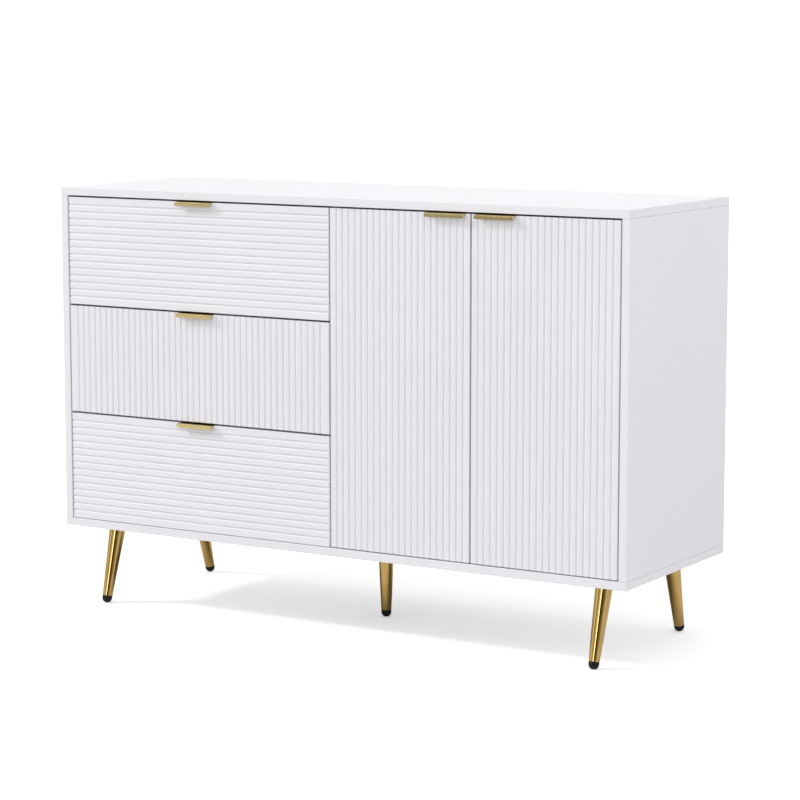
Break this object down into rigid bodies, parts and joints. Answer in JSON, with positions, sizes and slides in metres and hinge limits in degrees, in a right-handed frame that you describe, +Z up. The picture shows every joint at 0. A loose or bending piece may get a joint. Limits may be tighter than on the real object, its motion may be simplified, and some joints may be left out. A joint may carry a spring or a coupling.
{
  "type": "sideboard buffet",
  "caption": "White low cabinet with reeded inset drawer fronts and doors, gold edge pulls and tapered gold legs with black caps.",
  "frame": {"origin": "on the floor at the middle foot, under the centre of the cabinet", "axes": "+X to the right of a person who faces the front, +Y from the front to the back, +Z up"},
  "size_m": [1.2, 0.4085, 0.8],
  "materials": {
    "white_board": "white satin laminate on particle board",
    "reeded_white": "white satin paint on reeded fibreboard",
    "white_hardboard": "thin white-faced hardboard",
    "white_plastic": "extruded white plastic",
    "polished_gold": "polished gold plating on steel tube",
    "satin_gold": "satin gold anodised sheet",
    "black_rubber": "moulded black rubber",
    "black_plate": "black powder coat on steel plate",
    "zinc_fitting": "bright zinc-plated steel"
  },
  "bodies": {
    "cabinet": {"top_panel": "white_board", "bottom_panel": "white_board", "left_side_panel": "white_board", "right_side_panel": "white_board", "centre_divider": "white_board", "adjustable_shelf": "white_board", "left_back_panel": "white_hardboard", "right_back_panel": "white_hardboard", "back_joining_strip": "white_plastic", "shelf_pins": "zinc_fitting", "cam_locks": "zinc_fitting", "cam_bolts": "zinc_fitting", "leg_plate_screws": "zinc_fitting", "hinge_arms": "zinc_fitting", "leg_plates": "black_plate", "front_left_leg": "polished_gold", "front_left_foot_cap": "black_rubber", "front_right_leg": "polished_gold", "front_right_foot_cap": "black_rubber", "rear_left_leg": "polished_gold", "rear_left_foot_cap": "black_rubber", "rear_right_leg": "polished_gold", "rear_right_foot_cap": "black_rubber", "centre_leg": "polished_gold", "centre_foot_cap": "black_rubber", "bottom_drawer_cabinet_runners": "zinc_fitting", "middle_drawer_cabinet_runners": "zinc_fitting", "top_drawer_cabinet_runners": "zinc_fitting"},
    "bottom_drawer": {"bottom_drawer_front": "reeded_white", "bottom_drawer_left_side": "white_board", "bottom_drawer_right_side": "white_board", "bottom_drawer_back": "white_board", "bottom_drawer_floor": "white_hardboard", "bottom_drawer_box_runners": "zinc_fitting", "bottom_drawer_pull_screws": "zinc_fitting", "bottom_drawer_pull": "satin_gold"},
    "middle_drawer": {"middle_drawer_front": "reeded_white", "middle_drawer_left_side": "white_board", "middle_drawer_right_side": "white_board", "middle_drawer_back": "white_board", "middle_drawer_floor": "white_hardboard", "middle_drawer_box_runners": "zinc_fitting", "middle_drawer_pull_screws": "zinc_fitting", "middle_drawer_pull": "satin_gold"},
    "top_drawer": {"top_drawer_front": "reeded_white", "top_drawer_left_side": "white_board", "top_drawer_right_side": "white_board", "top_drawer_back": "white_board", "top_drawer_floor": "white_hardboard", "top_drawer_box_runners": "zinc_fitting", "top_drawer_pull_screws": "zinc_fitting", "top_drawer_pull": "satin_gold"},
    "left_door": {"left_door_panel": "reeded_white", "left_door_pull": "satin_gold", "left_door_pull_screws": "zinc_fitting", "left_door_hinge_cups": "zinc_fitting"},
    "right_door": {"right_door_panel": "reeded_white", "right_door_pull": "satin_gold", "right_door_pull_screws": "zinc_fitting", "right_door_hinge_cups": "zinc_fitting"}
  },
  "joints": [
    {"name": "bottom_drawer_slide", "type": "slide", "parent": "cabinet", "child": "bottom_drawer", "axis": [0, -1, 0], "range_m": [0, 0.25]},
    {"name": "middle_drawer_slide", "type": "slide", "parent": "cabinet", "child": "middle_drawer", "axis": [0, -1, 0], "range_m": [0, 0.25]},
    {"name": "top_drawer_slide", "type": "slide", "parent": "cabinet", "child": "top_drawer", "axis": [0, -1, 0], "range_m": [0, 0.25]},
    {"name": "left_door_hinge", "type": "hinge", "parent": "cabinet", "child": "left_door", "pos_m": [0.0147, -0.1985, 0.4743], "axis": [0, 0, -1], "range_deg": [0, 90]},
    {"name": "right_door_hinge", "type": "hinge", "parent": "cabinet", "child": "right_door", "pos_m": [0.5706, -0.1985, 0.4743], "axis": [0, 0, 1], "range_deg": [0, 105]}
  ]
}
